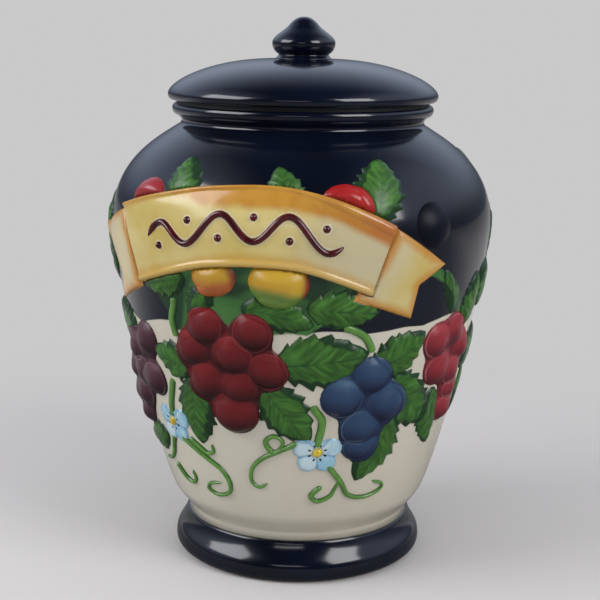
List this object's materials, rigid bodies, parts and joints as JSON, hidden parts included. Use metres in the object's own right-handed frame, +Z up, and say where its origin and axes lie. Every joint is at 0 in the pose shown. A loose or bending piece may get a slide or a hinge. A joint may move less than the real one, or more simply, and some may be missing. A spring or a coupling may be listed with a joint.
{
  "type": "biscuit jar",
  "caption": "Pear-shaped glazed earthenware biscuit jar on a foot ring, with a domed knob lid, a seal ring and a garland of fruit, leaves and a ribbon in relief.",
  "frame": {"origin": "centre of the underside, on the plane that the foot ring stands on", "axes": "+Z up along the axis of the jar and lid, -Y towards the front, where the ribbon is, +X to the right of someone who looks at the front"},
  "size_m": [0.2028, 0.209, 0.2829],
  "materials": {
    "cream_glaze": "gloss",
    "navy_glaze": "gloss",
    "ribbon_glaze": "gloss",
    "line_glaze": "gloss",
    "crimson_glaze": "gloss",
    "blue_glaze": "gloss",
    "plum_glaze": "gloss",
    "red_glaze": "gloss",
    "lemon_glaze": "gloss",
    "leaf_glaze": "gloss",
    "blossom_glaze": "gloss",
    "eye_glaze": "gloss",
    "tendril_glaze": "gloss",
    "seal_rubber": "matte"
  },
  "bodies": {
    "jar": {"apple_back_left": "red_glaze", "apple_back_right": "red_glaze", "apple_left": "red_glaze", "apple_right": "red_glaze", "blossom_eyes": "eye_glaze", "blossoms": "blossom_glaze", "foot_ring": "navy_glaze", "grapes_back_left": "blue_glaze", "grapes_back_middle": "crimson_glaze", "grapes_back_right": "plum_glaze", "grapes_blue": "blue_glaze", "grapes_crimson": "crimson_glaze", "grapes_plum": "plum_glaze", "grapes_red": "crimson_glaze", "jar_body": "cream_glaze", "leaf_1": "leaf_glaze", "leaf_10": "leaf_glaze", "leaf_11": "leaf_glaze", "leaf_12": "leaf_glaze", "leaf_13": "leaf_glaze", "leaf_14": "leaf_glaze", "leaf_15": "leaf_glaze", "leaf_16": "leaf_glaze", "leaf_17": "leaf_glaze", "leaf_18": "leaf_glaze", "leaf_19": "leaf_glaze", "leaf_2": "leaf_glaze", "leaf_3": "leaf_glaze", "leaf_4": "leaf_glaze", "leaf_5": "leaf_glaze", "leaf_6": "leaf_glaze", "leaf_7": "leaf_glaze", "leaf_8": "leaf_glaze", "leaf_9": "leaf_glaze", "leaf_spray_1": "leaf_glaze", "leaf_spray_2": "leaf_glaze", "leaf_spray_3": "leaf_glaze", "leaf_spray_4": "leaf_glaze", "leaf_spray_5": "leaf_glaze", "lemon_back_left": "lemon_glaze", "lemon_back_middle": "lemon_glaze", "lemon_back_right": "lemon_glaze", "lemon_left": "lemon_glaze", "lemon_right": "lemon_glaze", "plum_back_left": "navy_glaze", "plum_back_right": "navy_glaze", "plum_right": "navy_glaze", "ribbon_panel": "ribbon_glaze", "ribbon_scrollwork": "line_glaze", "ribbon_tail_left": "ribbon_glaze", "ribbon_tail_right": "ribbon_glaze", "stems": "tendril_glaze", "tendrils_back": "tendril_glaze", "tendrils_front": "tendril_glaze"},
    "seal": {"seal_ring": "seal_rubber"},
    "lid": {"lid_dome": "navy_glaze", "lid_knob": "navy_glaze"}
  },
  "joints": [
    {"name": "lid_lift", "type": "slide", "parent": "jar", "child": "seal", "axis": [0, 0, 1], "range_m": [0, 0.12]},
    {"name": "lid_turn", "type": "hinge", "parent": "seal", "child": "lid", "pos_m": [0, 0, 0.2405], "axis": [0, 0, 1], "continuous": true}
  ]
}
